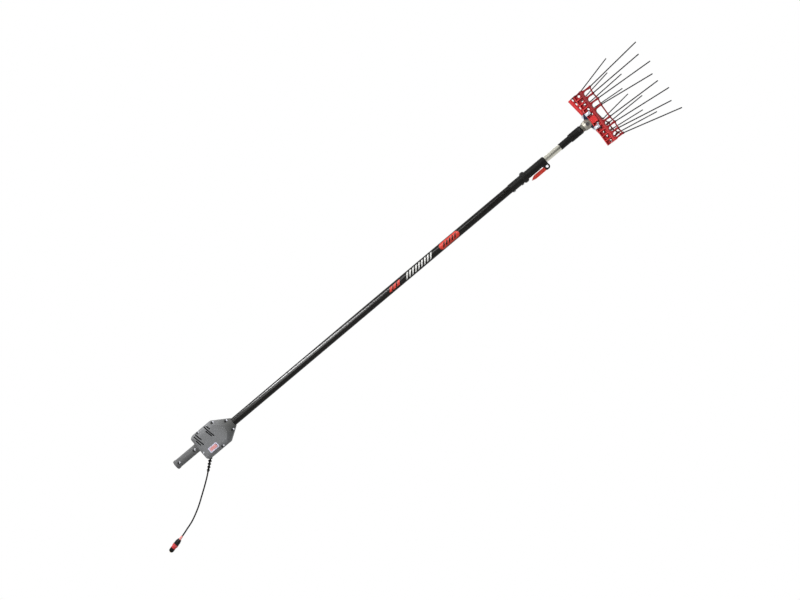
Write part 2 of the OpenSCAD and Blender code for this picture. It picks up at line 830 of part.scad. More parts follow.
module power_cord() {
    rings = [for (i = [0:cord_last]) let (d = cord_dir(i) / norm(cord_dir(i)))
        [for (k = [0:cord_sides - 1]) let (a = 360 * k / cord_sides, c = cord_d / 2 * cos(a))
            [cord_path[i].x - d.y * c, cord_d / 2 * sin(a), cord_path[i].y + d.x * c]]];
    n = cord_sides;
    sides = [for (i = [0:cord_last - 1], k = [0:n - 1]) let (a = i * n + k, b = i * n + (k + 1) % n)
        each [[a, b, a + n], [b, b + n, a + n]]];
    caps = [[for (k = [n - 1:-1:0]) k], [for (k = [0:n - 1]) cord_last * n + k]];
    color("black") polyhedron([for (r = rings) each r], concat(sides, caps));
}

module on_plug(z) {
    aim(cord_end, plug_dir) translate([0, 0, z]) children();
}

module plug_sleeve() {
    color("indianred") on_plug(0) cylinder(d1 = cord_d + 2, d2 = cord_d + 5, h = sleeve_l);
}

module plug_body() {
    color("black") on_plug(sleeve_l) {
        cylinder(d1 = plug_d - 5, d2 = plug_d + 2, h = plug_body_l / 2);
        translate([0, 0, plug_body_l / 2]) cylinder(d = plug_d + 2, h = plug_body_l / 2);
    }
}

module plug_ring() {
    grips = 12;
    color("red") on_plug(sleeve_l + plug_body_l) difference() {
        cylinder(d = plug_d + 4, h = plug_ring_l);
        for (i = [0:grips - 1]) rotate(i * 360 / grips) translate([plug_d / 2 + 2.4, 0, -1])
            cylinder(d = 1.6, h = plug_ring_l + 2);
    }
}

module plug_nose() {
    dome = plug_nose_l - plug_pin_l;
    color("black") on_plug(sleeve_l + plug_body_l + plug_ring_l) difference() {
        union() {
            cylinder(d = plug_d, h = plug_pin_l);
            translate([0, 0, plug_pin_l]) rotate_extrude() intersection() {
                scale_arc(plug_d / 2, dome);
                square([plug_d, plug_d]);
            }
        }
        translate([0, 0, plug_pin_l]) cylinder(d = contact_d + 2 * run_fit, h = far);
    }
}

// Arc through (r, 0) and (contact_d, h), as the side of a dome
module scale_arc(r, h) {
    steps = 8;
    low = contact_d / 2 + 2;
    polygon(concat([[0, 0]], [for (i = [0:steps]) let (a = 90 * i / steps)
        [low + (r - low) * cos(a), h * sin(a)]], [[0, h]]));
}

module plug_contact() {
    color("goldenrod") on_plug(sleeve_l + plug_body_l + plug_ring_l + plug_pin_l)
        cylinder(d = contact_d, h = plug_nose_l - plug_pin_l + 2);
}

module outer_tube() {
    color("black") on_pole() translate([0, 0, tube_z0]) ring(tube_d, tube_id, tube_l);
}

module shaft_guides() {
    color("white") on_pole() for (share = guide_shares) translate([0, 0, tube_z0 + share * guide_span])
        ring(tube_id - seat_fit, shaft_d + 2 * run_fit, guide_l);
}

module clamp_body() {
    slit = 2;
    color("black") on_pole() difference() {
        union() {
            translate([0, 0, clamp_z0]) cylinder(r = skirt_r, h = flange_z0 - clamp_z0 + 1);
            translate([0, 0, flange_z0]) rotate_extrude() polygon([[0, 0], [flange_d / 2 - 4, 0],
                [flange_d / 2, 5], [flange_d / 2, flange_l - 5], [flange_d / 2 - 3, flange_l],
                [0, flange_l]]);
            translate([0, 0, flange_z1 - 1]) cylinder(r = clamp_r, h = jaw_l - 3);
            translate([0, 0, clamp_z1 - 4]) cylinder(r1 = clamp_r, r2 = clamp_r - 2, h = 4);
            for (z = pinch_z) translate([skirt_r - 4, -lug_y, z - 5])
                cube([lug_x - skirt_r + 4, 2 * lug_y, 10]);
            for (s = [-1, 1]) translate([0, s * (ear_gap + ear_w / 2), 0]) {
                translate([lever_x, 0, lever_z]) rod_y(2 * ear_r, -ear_w / 2, ear_w / 2);
                translate([0, -ear_w / 2, lever_z - ear_r]) cube([lever_x, ear_w, 2 * ear_r - 1]);
            }
        }
        translate([0, 0, clamp_z0 - 1]) cylinder(d = tube_d + 2 * seat_fit, h = tube_z1 - clamp_z0 + 1);
        translate([0, 0, clamp_z0]) cylinder(d = inner_d + 2 * slide_fit, h = far * 2);
        translate([0, -slit / 2, clamp_z0 - 1]) cube([far, slit, flange_z0 - clamp_z0]);
        translate([inner_d / 2 - 1, -ear_gap, lever_z - shoe_l / 2 - slide_fit])
            cube([far, 2 * ear_gap, far]);
        translate([clamp_r - 1, -ear_gap, lever_z - 30]) cube([far, 2 * ear_gap, far]);
        translate([lever_x, 0, lever_z]) rod_y(lever_pin_d + 2 * run_fit, -far, far);
        for (z = pinch_z) translate([pinch_x, 0, z]) rod_y(pinch_d + seat_fit, -far, far);
    }
}

module clamp_shoe() {
    color("gray") on_pole() difference() {
        translate([inner_d / 2 - 1, -ear_gap + seat_fit, lever_z - shoe_l / 2])
            cube([lever_x - cam_r - shoe_gap - inner_d / 2 + 1, 2 * ear_gap - 2 * seat_fit, shoe_l]);
        translate([0, 0, lever_z - shoe_l]) cylinder(d = inner_d + 2 * slide_fit, h = 2 * shoe_l);
    }
}

module clamp_screws() {
    color("silver") on_pole() for (z = pinch_z) translate([pinch_x, 0, z]) {
        rod_y(pinch_d, -lug_y - 1, lug_y + 1);
        rod_y(pinch_d + 2.2, -lug_y - 3, -lug_y);
    }
}

module lever_pin() {
    half = ear_gap + ear_w;
    color("white") on_pole() translate([lever_x, 0, lever_z]) {
        rod_y(lever_pin_d, -half, half);
        for (s = [-1, 1]) rod_y(2 * lever_pin_d, s > 0 ? half : -half - 2, s > 0 ? half + 2 : -half);
    }
}

module clamp_lever() {
    half = lever_w / 2;
    near = clamp_r - lever_x + 2.4;
    out = cam_r + 1.6;
    root = -cam_r - 6;
    color("red") on_pole() translate([lever_x, 0, lever_z]) difference() {
        union() {
            rod_y(2 * cam_r, -half, half);
            translate([0, half, 0]) rotate([90, 0, 0]) linear_extrude(lever_w) polygon([[-cam_r, 0],
                [near, root], [near, -lever_l + 22], [near + 3, -lever_l + 12], [near + 9, -lever_l + 4],
                [near + 10, -lever_l], [near + 13, -lever_l + 2], [out, -lever_l + 18],
                [out, root], [cam_r, 0]]);
        }
        rod_y(lever_pin_d + 2 * run_fit, -far, far);
    }
}

module inner_tube() {
    color("silver") on_pole() translate([0, 0, inner_z0]) ring(inner_d, inner_id, ring_z0 - inner_z0);
}

module tube_guide() {
    color("white") on_pole() translate([0, 0, inner_z0]) ring(tube_id - 2 * slide_fit, inner_d, 25);
}

module head_socket() {
    ribs = 10;
    neck_r = inner_d / 2 + 1.2;
    ring_l = 9;
    waist = barrel_d / 2 - 2;
    color("black") on_pole() difference() {
        union() {
            translate([0, 0, sock_z0]) cylinder(r = neck_r, h = neck_l + 1);
            translate([0, 0, ring_z0]) rotate_extrude() polygon([[0, 0], [waist, 0],
                [barrel_d / 2 - 0.5, 2], [barrel_d / 2 - 0.5, ring_l - 2], [waist, ring_l],
                [waist, barrel_l - 18], [barrel_d / 2, barrel_l - 8], [barrel_d / 2, barrel_l - 3],
                [waist, barrel_l], [0, barrel_l]]);
            for (i = [0:ribs - 1]) rotate(i * 360 / ribs) translate([0, -2, ring_z0 + ring_l - 1])
                cube([barrel_d / 2 - 0.6, 4, barrel_l - ring_l - 6]);
        }
        translate([0, 0, sock_z0 - 1]) cylinder(d = inner_d + 2 * run_fit, h = neck_l + 1);
        translate([0, 0, ring_z0 - 1]) cylinder(d = inner_id - 2, h = far);
        translate([0, 0, sock_z1 - stem_in]) cylinder(d = stem_d + 2 * run_fit, h = far);
    }
}

module rod_bush() {
    color("white") on_pole() translate([0, 0, ring_z0 + 4])
        ring(inner_id - 2 - seat_fit, hex_d + 2 * slide_fit, 12);
}

module drive_rod() {
    color("lightgray") on_pole() translate([0, 0, shaft_z1 - rod_in]) rotate(30)
        cylinder(d = hex_d, h = rod_z1 - shaft_z1 + rod_in, $fn = 6);
}

module crankshaft() {
    color("slategray") on_pole() difference() {
        union() {
            translate([0, 0, crank_z0]) cylinder(r = crank_r, h = ecc_z - ecc_w - crank_z0);
            for (s = [0, 1]) rotate(ecc_phase + 180 * s)
                translate([ecc, 0, ecc_z - s * (ecc_w + ecc_lap)]) cylinder(r = ecc_r, h = ecc_w + ecc_lap);
        }
        translate([0, 0, crank_z0 - 1]) rotate(30) cylinder(d = hex_d, h = rod_z1 - crank_z0 + 1, $fn = 6);
    }
}

module gear_head() {
    color("lightgray") on_pole() difference() {
        union() {
            translate([0, 0, sock_z1 - stem_in]) cylinder(d = stem_d, h = stem_in + 1);
            translate([0, 0, sock_z1]) cylinder(d = collar_d - 5, h = collar_l);
            for (z = collar_rings) translate([0, 0, sock_z1 + z]) cylinder(d = collar_d, h = collar_ring_l);
            translate([0, 0, bell_z]) cylinder(d1 = bell_d0, d2 = bell_d1, h = bell_l);
            intersection() {
                translate([0, 0, pivot_z]) sphere(ball_r);
                translate([-far, -cheek_y - cheek_w, bell_z + bell_l / 2])
                    cube([2 * far, 2 * cheek_y + 2 * cheek_w, far]);
            }
        }
        translate([-fork_room, -fork_y - slide_fit, pivot_z - fork_floor])
            cube([2 * fork_room, 2 * fork_y + 2 * slide_fit, far]);
        translate([-far, -cheek_y, pivot_z - hub_r - 3]) cube([2 * far, 2 * cheek_y, far]);
        translate([0, 0, sock_z1 - stem_in - 1]) cylinder(r = crank_r + run_fit, h = far);
        translate([0, 0, pivot_z]) rod_y(pivot_d, -far, far);
    }
}

module pivot_pin() {
    half = cheek_y + cheek_w;
    color("dimgray") on_pole() translate([0, 0, pivot_z]) {
        rod_y(pivot_d, -half - 1, half + 3);
        rod_y(pivot_head_d, -half - 3, -half);
    }
}

module pivot_clip() {
    half = cheek_y + cheek_w;
    color("dimgray") on_pole() translate([0, 0, pivot_z]) difference() {
        rod_y(pivot_head_d, half, half + 1.5);
        rod_y(pivot_d, 0, far);
        translate([-2, 0, 0]) cube([4, far, pivot_head_d]);
    }
}

// Puts the parts of one comb on the pivot: the front one leans to the viewer, the rear one away
module front_side() {
    on_pole() translate([0, 0, pivot_z]) rotate([0, comb_yaw, 0]) children();
}

module rear_side() {
    on_pole() translate([0, 0, pivot_z]) rotate([0, -comb_yaw, 0]) mirror([0, 1, 0]) children();
}

// Comb's own frame: X along its width, Y to its inner face, Z along its tines
module in_comb() {
    translate([0, -base_y, base_z]) rotate([comb_tilt, 0, 0]) children();
}

module rocker() {
    arm_y = 3.4;
    y0 = -rocker_gap / 2 - hub_w;
    top = 27;
    pad = tongue_w / 2 - 1;
    difference() {
        union() {
            rod_y(2 * hub_r, y0, -rocker_gap / 2);
            translate([0, -arm_y, 0]) rotate([90, 0, 0]) linear_extrude(-y0 - arm_y) polygon([[-hub_r, -2],
                [-bolt_x - pad, top - pad], [-bolt_x - pad, top], [-bolt_x + pad, top], [0, hub_r + 2],
                [bolt_x - pad, top], [bolt_x + pad, top], [bolt_x + pad, top - pad], [hub_r, -2]]);
            for (s = [-1, 1]) translate([s * (fork_x + fork_w / 2) - fork_w / 2, -fork_y, -fork_deep])
                cube([fork_w, fork_y - rocker_gap / 2, fork_deep]);
            translate([-fork_x - fork_w, y0, -5]) cube([2 * fork_x + 2 * fork_w, hub_w, 5]);
            for (s = [-1, 1]) in_comb() translate([s * bolt_x, 0, 0]) {
                translate([-tongue_w / 2, base_t / 2, tongue_u[0]])
                    cube([tongue_w, tongue_t, tongue_u[1] - tongue_u[0]]);
                translate([-strap_w / 2, 0, 0]) rotate([90, 0, 90]) linear_extrude(strap_w) strap_profile();
            }
        }
        rod_y(2 * bush_r, -far, far);
        in_comb() for (s = [-1, 1]) translate([s * bolt_x, 0, bolt_u]) rod_y(bolt_d, -far, far);
    }
}

// Section of the strap that wraps the comb's ridge, with a leg on each face of the base
module strap_profile() {
    r = base_t / 2;
    difference() {
        union() {
            translate([0, ridge_u]) circle(r + strap_t);
            translate([-r - strap_t, ridge_u]) square([2 * r + 2 * strap_t, strap_u - ridge_u]);
        }
        translate([0, ridge_u]) circle(r);
        translate([-r, ridge_u]) square([2 * r, far]);
    }
}

module bush() {
    y0 = -rocker_gap / 2 - hub_w;
    difference() {
        rod_y(2 * bush_r, y0, -rocker_gap / 2);
        rod_y(pivot_d + 2 * run_fit, -far, far);
    }
}

// Open frame of a comb: holed base, eight arms with rounded gaps, zig-zag bar and sockets
module comb() {
    gap_r = (tine_pitch - arm_w) / 2;
    web_u = lip_u + gap_r;
    in_comb() difference() {
        union() {
            translate([-comb_half, 0, 0]) rotate([90, 0, 90]) linear_extrude(2 * comb_half) base_profile();
            translate([-block_w / 2, -base_t / 2 - block_t, ridge_u])
                cube([block_w, block_t + 1, lip_u - lip_taper / 2 - ridge_u]);
            translate([0, lip_t / 2, 0]) rotate([90, 0, 0]) linear_extrude(lip_t) difference() {
                translate([-comb_half, lip_u - lip_t / 2]) square([2 * comb_half, web_u - lip_u + lip_t / 2]);
                for (s = [-1, 1], i = [0:tines - 2]) translate([s * (tine_x(i) + tine_pitch / 2), web_u])
                    circle(gap_r);
                middle_gap(gap_r, web_u);
                for (s = [-1, 1]) translate([s * (tine_x(tines - 1) + arm_w / 2 + gap_r), web_u])
                    circle(gap_r);
            }
            for (s = [-1, 1], i = [0:tines - 1]) arm(i, s, web_u);
            for (s = [-1, 1], i = [0:tines - 2]) bar(node_point(i, s), node_point(i + 1, s), bar_d);
            bar(node_point(0, -1), node_point(0, 1), bar_d);
            for (s = [-1, 1], i = [0:tines - 1]) at_tine(i, s) translate([0, 0, socket_out - socket_l])
                cylinder(d1 = socket_d - 2, d2 = socket_d, h = socket_l);
        }
        for (s = [-1, 1], i = [1:holes]) translate([s * hole_pitch * i, 0, hole_u])
            rod_y(hole_d, -far, far);
        pockets();
        for (s = [-1, 1]) translate([s * bolt_x, 0, bolt_u]) rod_y(bolt_d + 2 * seat_fit, -far, far);
        for (s = [-1, 1], i = [0:tines - 1]) at_tine(i, s) translate([0, 0, -tine_in])
            cylinder(d = tine_d, h = far);
    }
}

// Pockets on both faces of the base, with a boss left round each bolt
module pockets() {
    difference() {
        for (s = [-1, 1], i = [1:holes], y = [-web_t / 2 - base_t, web_t / 2])
            translate([s * hole_pitch * i - pocket_w / 2, y, pocket_u[0]])
                cube([pocket_w, base_t, pocket_u[1] - pocket_u[0]]);
        for (s = [-1, 1]) translate([s * bolt_x, 0, bolt_u]) rod_y(strap_w, -far, far);
    }
}

// Wide gap between the two middle arms, with the same rounded corners
module middle_gap(r, u) {
    x = tine_first - arm_w / 2 - r;
    for (s = [-1, 1]) translate([s * x, u]) circle(r);
    translate([-x, u - r]) square([2 * x, 2 * r]);
}

// Section of the base: round rear ridge, thick middle, thinner lip
module base_profile() {
    r = base_t / 2;
    translate([0, ridge_u]) circle(r);
    polygon([[-r, ridge_u], [r, ridge_u], [r, lip_u - lip_taper], [lip_t / 2, lip_u], [-lip_t / 2, lip_u],
        [-r, lip_u - lip_taper]]);
}

module arm(i, s, u0) {
    rise = atan2(tine_side(i) * node_n, node_u - u0);
    reach = norm([node_n, node_u - u0]);
    translate([s * tine_x(i), 0, u0]) rotate([-rise, 0, 0])
        translate([-arm_w / 2 + arm_inset, -lip_t / 2 + arm_inset, -4])
            cube([arm_w - 2 * arm_inset, lip_t - 2 * arm_inset, reach + 2]);
}

module at_tine(i, s) {
    translate(node_point(i, s)) rotate([0, s * tine_fan(i) + tine_sweep, 0])
        rotate([tine_side(i) * -tine_lean, 0, 0]) children();
}

module comb_bolts() {
    r = base_t / 2;
    in_comb() for (s = [-1, 1]) translate([s * bolt_x, 0, bolt_u]) {
        out = -r - strap_t;
        rod_y(bolt_d, out - 1, r + tongue_t + nut_h);
        rod_y(bolt_head_d, out - bolt_head_h, out);
        translate([0, r + tongue_t, 0]) rotate([-90, 0, 0])
            cylinder(d = nut_af / cos(30), h = nut_h, $fn = 6);
    }
}

module tine_set() {
    in_comb() for (s = [-1, 1], i = [0:tines - 1]) at_tine(i, s) {
        translate([0, 0, -tine_in]) cylinder(d = tine_d, h = tine_l + tine_in);
        translate([0, 0, tine_l]) sphere(d = tine_d);
    }
}

module front_rocker() { color("silver") front_side() rocker(); }
module rear_rocker() { color("silver") rear_side() rocker(); }
module front_bush() { color("darkgoldenrod") front_side() bush(); }
module rear_bush() { color("darkgoldenrod") rear_side() bush(); }
module front_comb() { color("crimson") front_side() comb(); }
module rear_comb() { color("crimson") rear_side() comb(); }
module front_bolts() { color("white") front_side() comb_bolts(); }
module rear_bolts() { color("white") rear_side() comb_bolts(); }
module front_tines() { color("black") front_side() tine_set(); }
module rear_tines() { color("black") rear_side() tine_set(); }

housing_front();
housing_rear();
housing_screws();
motor_can();
motor_magnets();
motor_end_bell();
motor_brushes();
motor_shaft();
armature();
commutator();
motor_pinion();
gear_case();
gear_cover();
shaft_bearings();
drive_gear();
lower_shaft();
shaft_tip_bush();
control_board();
board_parts();
motor_leads();
switch_frame();
switch_rocker();
strain_relief();
power_cord();
plug_sleeve();
plug_body();
plug_ring();
plug_nose();
plug_contact();
outer_tube();
shaft_guides();
clamp_body();
clamp_shoe();
clamp_screws();
lever_pin();
clamp_lever();
inner_tube();
tube_guide();
head_socket();
rod_bush();
drive_rod();
crankshaft();
gear_head();
pivot_pin();
pivot_clip();
front_rocker();
front_bush();
front_comb();
front_bolts();
front_tines();
rear_rocker();
rear_bush();
rear_comb();
rear_bolts();
rear_tines();
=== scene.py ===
"""Looks, light and camera for the electric olive harvester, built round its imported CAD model."""

import math

import bpy
from mathutils import Matrix, Quaternion, Vector


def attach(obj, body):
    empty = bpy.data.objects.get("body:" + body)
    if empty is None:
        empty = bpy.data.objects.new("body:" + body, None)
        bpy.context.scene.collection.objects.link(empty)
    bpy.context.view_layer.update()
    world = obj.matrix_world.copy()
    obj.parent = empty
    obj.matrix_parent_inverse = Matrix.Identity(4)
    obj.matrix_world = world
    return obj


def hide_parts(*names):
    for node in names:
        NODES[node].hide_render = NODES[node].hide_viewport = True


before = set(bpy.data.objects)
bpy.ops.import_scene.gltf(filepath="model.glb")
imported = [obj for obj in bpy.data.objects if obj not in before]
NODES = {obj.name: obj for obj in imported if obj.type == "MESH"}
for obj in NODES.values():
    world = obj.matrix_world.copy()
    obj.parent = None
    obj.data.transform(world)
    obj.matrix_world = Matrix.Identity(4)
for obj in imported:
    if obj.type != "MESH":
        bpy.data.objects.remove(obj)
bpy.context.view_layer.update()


def middle(values):
    return (min(values) + max(values)) / 2


# The outer tube's axis and radius
tube_places = [v.co for v in NODES["outer_tube"].data.vertices]
POLE_X = middle([p.x for p in tube_places])
TUBE_R = max(math.hypot(p.x - POLE_X, p.y) for p in tube_places)


# Materials. Object coordinates are the row frame in metres, so every grain size below is a real one.

EDGE_SAMPLES = 4
WEAR_REACH = 0.0009
SOFT_EDGE = 0.0006
DUST_TONE = (0.42, 0.4, 0.37)
# Colour of the painted shadow in the screw recesses
RECESS_SHADE_TONE = (0.008, 0.008, 0.008)
LINES_PER_METRE = 700.0

# How far from the middle plane the painted blue-black shade on the rockers' arms gives way to the bright
# straps
STRAP_FROM = (0.0105, 0.0125)


class Nodes:
    """A small helper that adds and links shader nodes in one material."""

    def __init__(self, name):
        self.material = bpy.data.materials.new(name)
        self.material.use_nodes = True
        self.tree = self.material.node_tree
        self.shader = self.tree.nodes["Principled BSDF"]
        self.coords = self.add("ShaderNodeTexCoord").outputs["Object"]

    def add(self, kind, **values):
        node = self.tree.nodes.new(kind)
        for key, value in values.items():
            if hasattr(node, key):
                setattr(node, key, value)
            else:
                node.inputs[key.replace("_", " ")].default_value = value
        return node

    def link(self, out, socket):
        self.tree.links.new(out, socket)

    def noise(self, scale, detail=3.0, stretch=(1, 1, 1), rough=0.5):
        """Noise of about that many features to the metre, drawn out by stretch."""
        mapping = self.add("ShaderNodeMapping")
        mapping.inputs["Scale"].default_value = stretch
        self.link(self.coords, mapping.inputs["Vector"])
        node = self.add("ShaderNodeTexNoise", Scale=scale, Detail=detail, Roughness=rough)
        self.link(mapping.outputs["Vector"], node.inputs["Vector"])
        return node.outputs["Fac"]

    def spread(self, value, low, high, from_low=0.3, from_high=0.7):
        node = self.add("ShaderNodeMapRange")
        node.inputs["From Min"].default_value = from_low
        node.inputs["From Max"].default_value = from_high
        node.inputs["To Min"].default_value = low
        node.inputs["To Max"].default_value = high
        self.link(value, node.inputs["Value"])
        return node.outputs["Result"]

    def rubbed_edges(self):
        """Broken marks along the edges, where the rounded normal turns away from the true one."""
        bevel = self.add("ShaderNodeBevel", samples=EDGE_SAMPLES, Radius=WEAR_REACH)
        flat = self.add("ShaderNodeNewGeometry").outputs["Normal"]
        along = self.add("ShaderNodeVectorMath", operation="DOT_PRODUCT")
        self.link(bevel.outputs["Normal"], along.inputs[0])
        self.link(flat, along.inputs[1])
        turned = self.spread(along.outputs["Value"], 1, 0, 0.86, 0.99)
        broken = self.spread(self.noise(240.0, 5.0), 0, 1, 0.42, 0.62)
        both = self.add("ShaderNodeMath", operation="MULTIPLY")
        self.link(turned, both.inputs[0])
        self.link(broken, both.inputs[1])
        return both.outputs["Value"]

    def height(self, low, high, axis=(0, 0, 1)):
        """0 to 1 as the place along the axis, or else the pole, goes from low to high."""
        place = self.add("ShaderNodeVectorMath", operation="DOT_PRODUCT")
        place.inputs[1].default_value = axis
        self.link(self.coords, place.inputs[0])
        return self.spread(place.outputs["Value"], 0, 1, low, high)

    def streaks(self, scale):
        """Fine lines drawn along the pole."""
        return self.spread(self.noise(scale, 3.0, (1, 1, 0.004), 0.6), 0, 1, 0.35, 0.65)

    def around(self, places, inner, outer):
        """1 within inner of any of the places seen from the front, fading to 0 at outer."""
        flat = self.add("ShaderNodeVectorMath", operation="MULTIPLY")
        flat.inputs[1].default_value = (1, 0, 1)
        self.link(self.coords, flat.inputs[0])
        nearest = None
        for x, z in places:
            gap = self.add("ShaderNodeVectorMath", operation="DISTANCE")
            gap.inputs[1].default_value = (x, 0, z)
            self.link(flat.outputs["Vector"], gap.inputs[0])
            if nearest is None:
                nearest = gap.outputs["Value"]
                continue
            less = self.add("ShaderNodeMath", operation="MINIMUM")
            self.link(nearest, less.inputs[0])
            self.link(gap.outputs["Value"], less.inputs[1])
            nearest = less.outputs["Value"]
        return self.spread(nearest, 1, 0, inner, outer)

    def painted_hollow_shade(self, reach=0.016):
        """Painted shade that darkens pockets and corners, the more shut in they are."""
        open_sky = self.add("ShaderNodeAmbientOcclusion", samples=6, Distance=reach)
        return self.spread(open_sky.outputs["AO"], 1, 0, 0.35, 0.95)

    def mix(self, factor, a, b):
        node = self.add("ShaderNodeMix", data_type="RGBA")
        self.link(factor, node.inputs["Factor"])
        for socket, value in ((node.inputs["A"], a), (node.inputs["B"], b)):
            if isinstance(value, tuple):
                socket.default_value = value
            else:
                self.link(value, socket)
        return node.outputs["Result"]


def rgba(color, gain=1.0):
    return tuple(min(1.0, c * gain) for c in color) + (1.0,)


def surface(name, color, rough, metal=0.0, vary=0.04, patch=9.0, grain=900.0, depth=0.00004,
            stretch=(1, 1, 1), rough_vary=0.06, wear=None, edge=SOFT_EDGE, dust=0.0, grime=None, fades=(),
            lines=None, recess_shade=None, **sockets):
    """One finish: mottled colour, uneven roughness, moulded or drawn grain, soft edges and edge wear.

    Each fade is two places along the pole, the colour reached at the second, and its axis if not the pole.
    Recess shade is a painted shadow: the places it is painted round, how far from each it is black and how
    far it reaches.
    """
    n = Nodes(name)
    base = n.mix(n.spread(n.noise(patch, 4.0), 0, 1), rgba(color, 1 - vary), rgba(color, 1 + vary))
    if dust:
        haze = n.spread(n.noise(60.0, 6.0, rough=0.7), 0, dust, 0.3, 0.9)
        base = n.mix(haze, base, rgba(DUST_TONE))
    for low, high, tone, *axis in fades:
        base = n.mix(n.height(low, high, *axis), base, rgba(tone))
    if lines:
        base = n.mix(n.streaks(LINES_PER_METRE), base, rgba(lines))
    # Painted shadow round the given places
    if recess_shade:
        base = n.mix(n.around(*recess_shade), base, rgba(RECESS_SHADE_TONE))
    round_edge = n.add("ShaderNodeBevel", samples=EDGE_SAMPLES, Radius=edge)
    if wear:
        base = n.mix(n.rubbed_edges(), base, rgba(wear))
    # Painted shade in pockets and corners
    if grime:
        base = n.mix(n.painted_hollow_shade(), base, rgba(grime))
    n.link(base, n.shader.inputs["Base Color"])
    n.link(n.spread(n.noise(patch * 9, 4.0, stretch), rough - rough_vary, rough + rough_vary),
           n.shader.inputs["Roughness"])
    n.shader.inputs["Metallic"].default_value = metal
    for key, value in sockets.items():
        n.shader.inputs[key.replace("_", " ")].default_value = value
    bump = n.add("ShaderNodeBump", Strength=0.6, Distance=depth)
    n.link(n.noise(grain, 2.0, stretch), bump.inputs["Height"])
    n.link(round_edge.outputs["Normal"], bump.inputs["Normal"])
    n.link(bump.outputs["Normal"], n.shader.inputs["Normal"])
    return n.material


def shaded_arm_bright_strap():
    """Bright plated straps further from the middle plane, and arms nearer it painted blue-black as shade.
    """
    n = Nodes("shaded_arm_bright_strap")
    place = n.add("ShaderNodeSeparateXYZ")
    n.link(n.coords, place.inputs["Vector"])
    out = n.add("ShaderNodeMath", operation="ABSOLUTE")
    n.link(place.outputs["Y"], out.inputs[0])
    strap = n.spread(out.outputs["Value"], 0, 1, *STRAP_FROM)
    # Painted shade: the arms are blue-black
    arm_shade = n.mix(n.spread(n.noise(90.0), 0, 1), (0.012, 0.012, 0.032, 1), (0.02, 0.02, 0.05, 1))
    bright = n.mix(n.spread(n.noise(70.0), 0, 1), (0.50, 0.51, 0.58, 1), (0.60, 0.61, 0.68, 1))
    n.link(n.mix(strap, arm_shade, bright), n.shader.inputs["Base Color"])
    n.link(strap, n.shader.inputs["Metallic"])
    n.link(n.spread(strap, 0.34, 0.24, 0, 1), n.shader.inputs["Roughness"])
    n.shader.inputs["Specular IOR Level"].default_value = 0.25
    soft = n.add("ShaderNodeBevel", samples=EDGE_SAMPLES, Radius=SOFT_EDGE)
    n.link(soft.outputs["Normal"], n.shader.inputs["Normal"])
    return n.material


def middles(mesh, reach):
    """Middle across and along the pole of each group of vertices that lie within reach of each other."""
    groups = []
    for place in (v.co for v in mesh.vertices):
        for group in groups:
            if max(abs(place.x - group[0].x), abs(place.z - group[0].z)) < reach:
                group.append(place)
                break
        else:
            groups.append([place])
    return [(middle([p.x for p in group]), middle([p.z for p in group])) for group in groups]


# Fades along the pole: where each starts, where it ends, and the colour there
GRIP_FADE = (0.064, 0.054, (0.090, 0.091, 0.092))
# Painted shade: the housing darkens towards its nose
NOSE_SHADE = (0.175, 0.225, (0.082, 0.083, 0.080))
# Painted shade: the combs turn a deeper red along their arms, further up the pole
ARMS_SHADE = (2.248, 2.266, (0.19, 0.003, 0.006))
COLLAR_FADE = (2.196, 2.190, (0.17, 0.165, 0.14))

# Painted shadow of each housing screw's recess, set below the screw, on its head and in the shell round it
SCREW_SPAN = 0.012
SHADE_BELOW = 0.004
SCREW_SHADE_PLACES = [(x, z - SHADE_BELOW) for x, z in middles(NODES["housing_screws"].data, SCREW_SPAN)]
HEAD_RECESS_SHADE = (SCREW_SHADE_PLACES, 0.0026, 0.0036)
SHELL_RECESS_SHADE = (SCREW_SHADE_PLACES, 0.0056, 0.0072)

# The ring's red goes on over the back of the plug's nose
RING_RED = (0.52, 0.045, 0.05)
BAND_L = 0.010
BAND_SOFT = 0.0005
PLUG_DIR = Vector((0.22, 0, -0.976)).normalized()
band_end = max(PLUG_DIR.dot(v.co) for v in NODES["plug_ring"].data.vertices) + BAND_L
PLUG_BAND = (band_end + BAND_SOFT, band_end - BAND_SOFT, RING_RED, PLUG_DIR)

SHELL_GREY = (0.150, 0.153, 0.157)
# The shell gets painted shade in its pockets and corners
SHELL_LOOK = dict(rough=0.44, grain=1500.0, depth=0.00005, wear=(0.2, 0.2, 0.21), dust=0.01,
                  grime=(0.02, 0.02, 0.02), fades=(GRIP_FADE, NOSE_SHADE), Specular_IOR_Level=0.25)
SHELL = surface("shell_grey", SHELL_GREY, recess_shade=SHELL_RECESS_SHADE, **SHELL_LOOK)
SHELL_BACK = surface("shell_grey_back", SHELL_GREY, **SHELL_LOOK)
LACQUER = surface("black_lacquer", (0.0058, 0.0052, 0.0046), 0.2, patch=14.0, grain=260.0, depth=0.000003,
                  stretch=(1, 1, 0.06), rough_vary=0.05, dust=0.004, Specular_IOR_Level=0.12)
BLACK_TONE = (0.006, 0.0058, 0.0055)
BLACK = surface("black_moulding", BLACK_TONE, 0.36, grain=1400.0, depth=0.00005,
                wear=(0.03, 0.03, 0.03), dust=0.008, Specular_IOR_Level=0.13)
PLUG_NOSE = surface("plug_nose", BLACK_TONE, 0.36, grain=1400.0, depth=0.00005, dust=0.004,
                    fades=(PLUG_BAND,), Specular_IOR_Level=0.08)
RUBBER = surface("black_rubber", (0.003, 0.003, 0.003), 0.5, grain=2200.0, depth=0.00004,
                 dust=0.003, Specular_IOR_Level=0.1)
